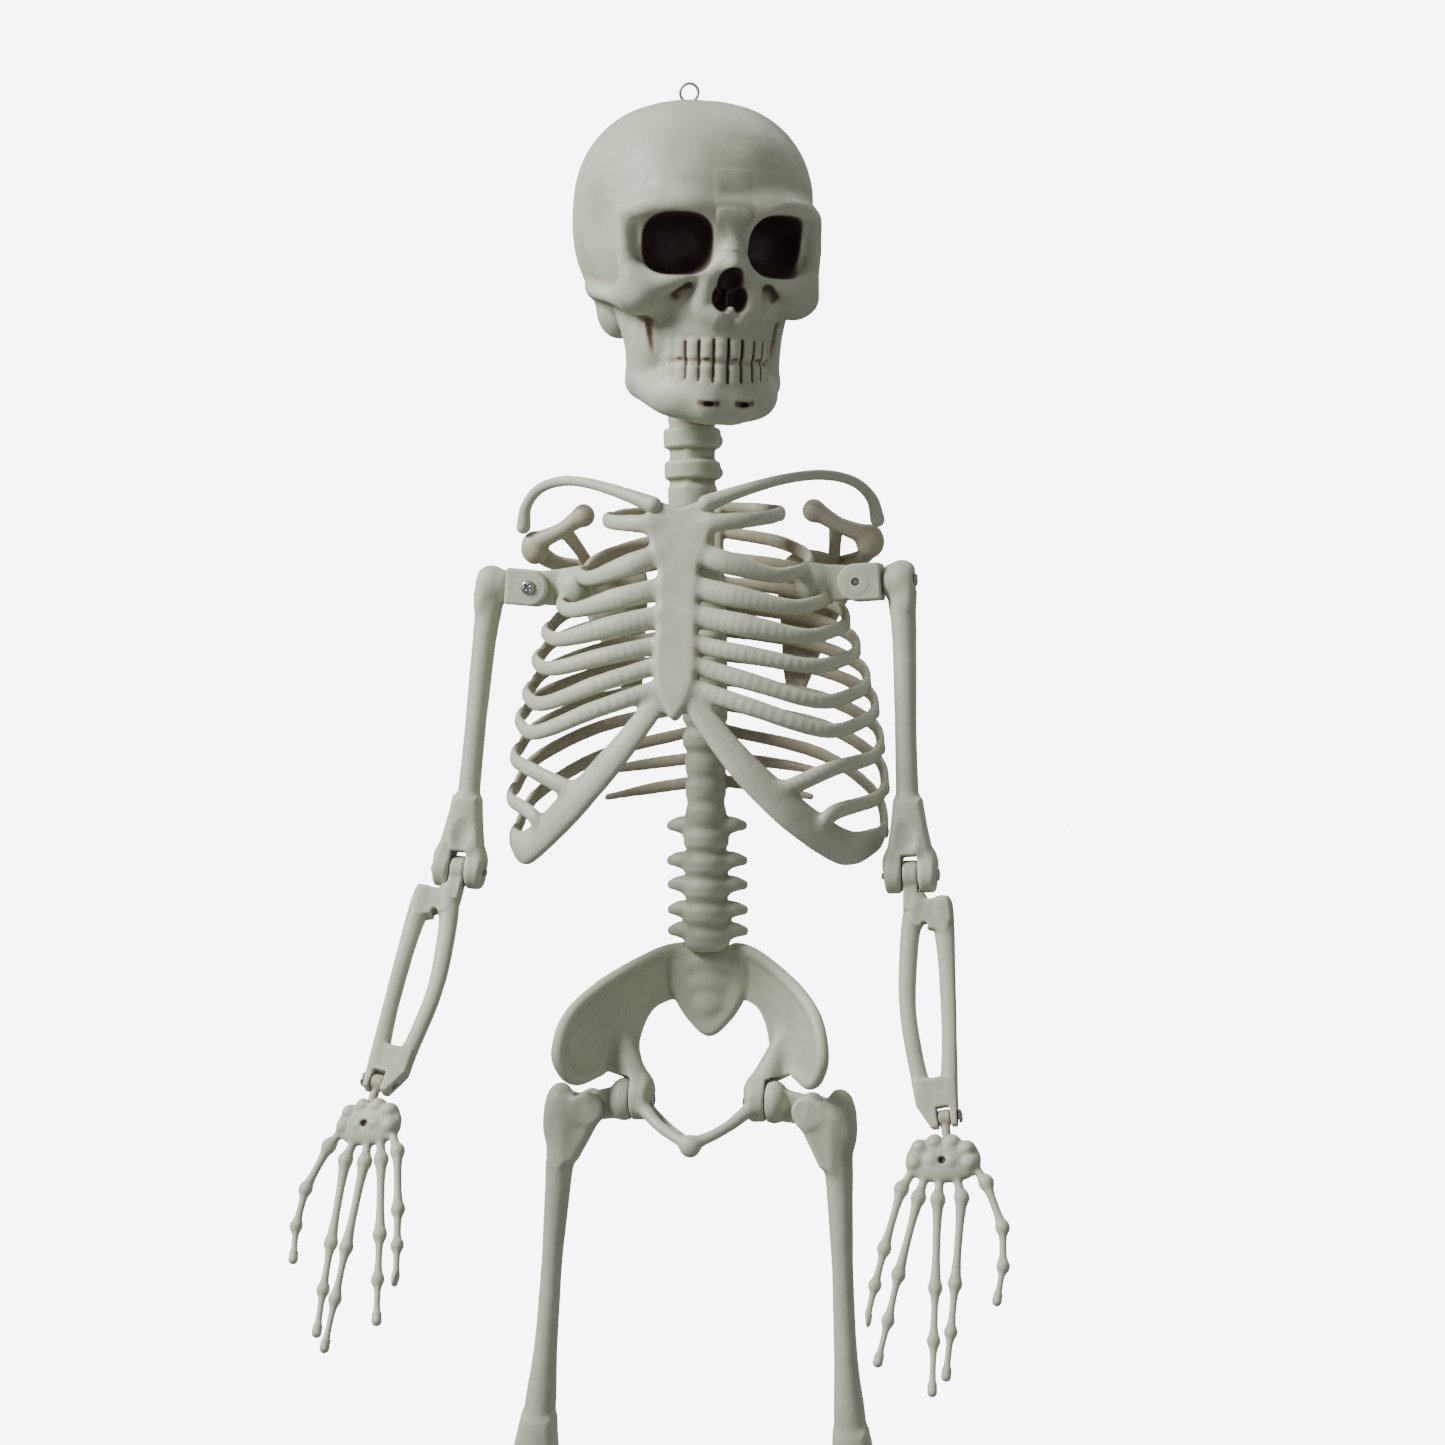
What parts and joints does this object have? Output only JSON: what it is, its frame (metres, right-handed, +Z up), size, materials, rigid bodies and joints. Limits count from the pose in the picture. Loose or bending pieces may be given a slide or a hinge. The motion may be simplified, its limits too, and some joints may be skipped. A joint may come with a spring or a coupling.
{
  "type": "halloween skeleton figure",
  "caption": "Hanging human skeleton figure in moulded plastic with posable neck, shoulders, elbows, wrists, hips, knees and ankles.",
  "frame": {"origin": "centre of the hole of the hanging eyelet, just above the top of the skull", "axes": "+Z up along the hanging figure, +X to the figure's own left, the figure's chest faces -Y"},
  "size_m": [0.3278, 0.2074, 0.9319],
  "materials": {
    "bone_plastic": "satin moulded plastic, pale grey-green ivory",
    "bone_plastic_dark": "satin moulded plastic with a thin brown wash",
    "steel": "plated screws, pins and hanging eyelet"
  },
  "bodies": {
    "skull": {"skull_face": "bone_plastic", "skull_back": "bone_plastic", "neck_socket": "bone_plastic_dark", "hanging_eyelet": "steel", "eyelet_nut": "steel"},
    "neck": {"neck_column": "bone_plastic", "neck_screw": "steel"},
    "torso": {"rib_cage_front": "bone_plastic", "rib_cage_back": "bone_plastic", "spine": "bone_plastic", "pelvis": "bone_plastic", "neck_pin": "steel", "rib_cage_screw_upper": "steel", "rib_cage_screw_lower": "steel", "pelvis_screw": "steel", "left_scapula": "bone_plastic_dark", "left_clavicle": "bone_plastic", "left_hip_bolt": "steel", "right_scapula": "bone_plastic_dark", "right_clavicle": "bone_plastic", "right_hip_bolt": "steel"},
    "left_shoulder": {"left_shoulder_knuckle": "bone_plastic", "left_shoulder_pivot_screw": "steel", "left_shoulder_swing_screw": "steel"},
    "left_upper_arm": {"left_humerus": "bone_plastic", "left_elbow_bolt": "steel"},
    "left_forearm": {"left_forearm": "bone_plastic", "left_wrist_pin": "steel"},
    "left_wrist": {"left_wrist_link": "bone_plastic_dark"},
    "left_hand": {"left_hand": "bone_plastic"},
    "left_hip": {"left_hip_knuckle": "bone_plastic"},
    "left_thigh": {"left_femur": "bone_plastic", "left_hip_spread_screw": "steel", "left_knee_bolt": "steel"},
    "left_shin": {"left_shin": "bone_plastic", "left_ankle_bolt": "steel"},
    "left_foot": {"left_foot": "bone_plastic"},
    "right_shoulder": {"right_shoulder_knuckle": "bone_plastic", "right_shoulder_pivot_screw": "steel", "right_shoulder_swing_screw": "steel"},
    "right_upper_arm": {"right_humerus": "bone_plastic", "right_elbow_bolt": "steel"},
    "right_forearm": {"right_forearm": "bone_plastic", "right_wrist_pin": "steel"},
    "right_wrist": {"right_wrist_link": "bone_plastic_dark"},
    "right_hand": {"right_hand": "bone_plastic"},
    "right_hip": {"right_hip_knuckle": "bone_plastic"},
    "right_thigh": {"right_femur": "bone_plastic", "right_hip_spread_screw": "steel", "right_knee_bolt": "steel"},
    "right_shin": {"right_shin": "bone_plastic", "right_ankle_bolt": "steel"},
    "right_foot": {"right_foot": "bone_plastic"}
  },
  "joints": [
    {"name": "head_turn", "type": "hinge", "parent": "skull", "child": "neck", "pos_m": [0, 0, -0.1102], "axis": [0, 0, -1], "range_deg": [-98, 42]},
    {"name": "neck_nod", "type": "hinge", "parent": "neck", "child": "torso", "pos_m": [0, 0, -0.212], "axis": [1, 0, 0], "range_deg": [-15, 15]},
    {"name": "left_shoulder_spread", "type": "hinge", "parent": "torso", "child": "left_shoulder", "pos_m": [0.081, 0, -0.24], "axis": [0, -1, 0], "range_deg": [-0.8, 77.7]},
    {"name": "left_shoulder_swing", "type": "hinge", "parent": "left_shoulder", "child": "left_upper_arm", "pos_m": [0.10198, 0, -0.23916], "axis": [0.9992, 0, 0.0401], "range_deg": [-133, 47]},
    {"name": "left_elbow_bend", "type": "hinge", "parent": "left_upper_arm", "child": "left_forearm", "pos_m": [0.10764, -0.01731, -0.37999], "axis": [-0.9992, 0, -0.0401], "range_deg": [-8, 87]},
    {"name": "left_wrist_bend", "type": "hinge", "parent": "left_forearm", "child": "left_wrist", "pos_m": [0.12623, -0.04711, -0.49054], "axis": [-0.987, -0.0315, -0.1575], "range_deg": [-32, 8]},
    {"name": "left_wrist_twist", "type": "hinge", "parent": "left_wrist", "child": "left_hand", "pos_m": [0.12623, -0.04711, -0.49054], "axis": [-0.1546, 0.4521, 0.8785], "range_deg": [-60, 60]},
    {"name": "left_hip_swing", "type": "hinge", "parent": "torso", "child": "left_hip", "pos_m": [0.034, 0.002, -0.492], "axis": [-1, 0, 0], "range_deg": [-25, 85]},
    {"name": "left_hip_spread", "type": "hinge", "parent": "left_hip", "child": "left_thigh", "pos_m": [0.055, 0.002, -0.496], "axis": [0, -1, 0], "range_deg": [-4, 27]},
    {"name": "left_knee_bend", "type": "hinge", "parent": "left_thigh", "child": "left_shin", "pos_m": [0.07645, 0.002, -0.69515], "axis": [0.9986, 0, 0.0523], "range_deg": [-2, 98]},
    {"name": "left_ankle_bend", "type": "hinge", "parent": "left_shin", "child": "left_foot", "pos_m": [0.08629, 0.00856, -0.88278], "axis": [-0.9986, 0, -0.0523], "range_deg": [-20, 20]},
    {"name": "right_shoulder_spread", "type": "hinge", "parent": "torso", "child": "right_shoulder", "pos_m": [-0.081, 0, -0.24], "axis": [0, 1, 0], "range_deg": [-3.5, 75]},
    {"name": "right_shoulder_swing", "type": "hinge", "parent": "right_shoulder", "child": "right_upper_arm", "pos_m": [-0.10192, 0, -0.23817], "axis": [0.9962, 0, -0.0872], "range_deg": [-132, 48]},
    {"name": "right_elbow_bend", "type": "hinge", "parent": "right_upper_arm", "child": "right_forearm", "pos_m": [-0.11418, -0.01976, -0.37825], "axis": [-0.9962, 0, 0.0872], "range_deg": [-24, 71]},
    {"name": "right_wrist_bend", "type": "hinge", "parent": "right_forearm", "child": "right_wrist", "pos_m": [-0.13677, -0.08077, -0.47429], "axis": [-0.9798, 0.0646, 0.1895], "range_deg": [-14, 26]},
    {"name": "right_wrist_twist", "type": "hinge", "parent": "right_wrist", "child": "right_hand", "pos_m": [-0.13677, -0.08077, -0.47429], "axis": [-0.1985, -0.4344, -0.8785], "range_deg": [-78, 42]},
    {"name": "right_hip_swing", "type": "hinge", "parent": "torso", "child": "right_hip", "pos_m": [-0.034, 0.002, -0.492], "axis": [-1, 0, 0], "range_deg": [-25, 85]},
    {"name": "right_hip_spread", "type": "hinge", "parent": "right_hip", "child": "right_thigh", "pos_m": [-0.055, 0.002, -0.496], "axis": [0, 1, 0], "range_deg": [-7, 24]},
    {"name": "right_knee_bend", "type": "hinge", "parent": "right_thigh", "child": "right_shin", "pos_m": [-0.08685, 0.002, -0.69376], "axis": [0.9945, 0, -0.1045], "range_deg": [-2, 98]},
    {"name": "right_ankle_bend", "type": "hinge", "parent": "right_shin", "child": "right_foot", "pos_m": [-0.10648, 0.00856, -0.88061], "axis": [-0.9945, 0, 0.1045], "range_deg": [-20, 20]}
  ]
}
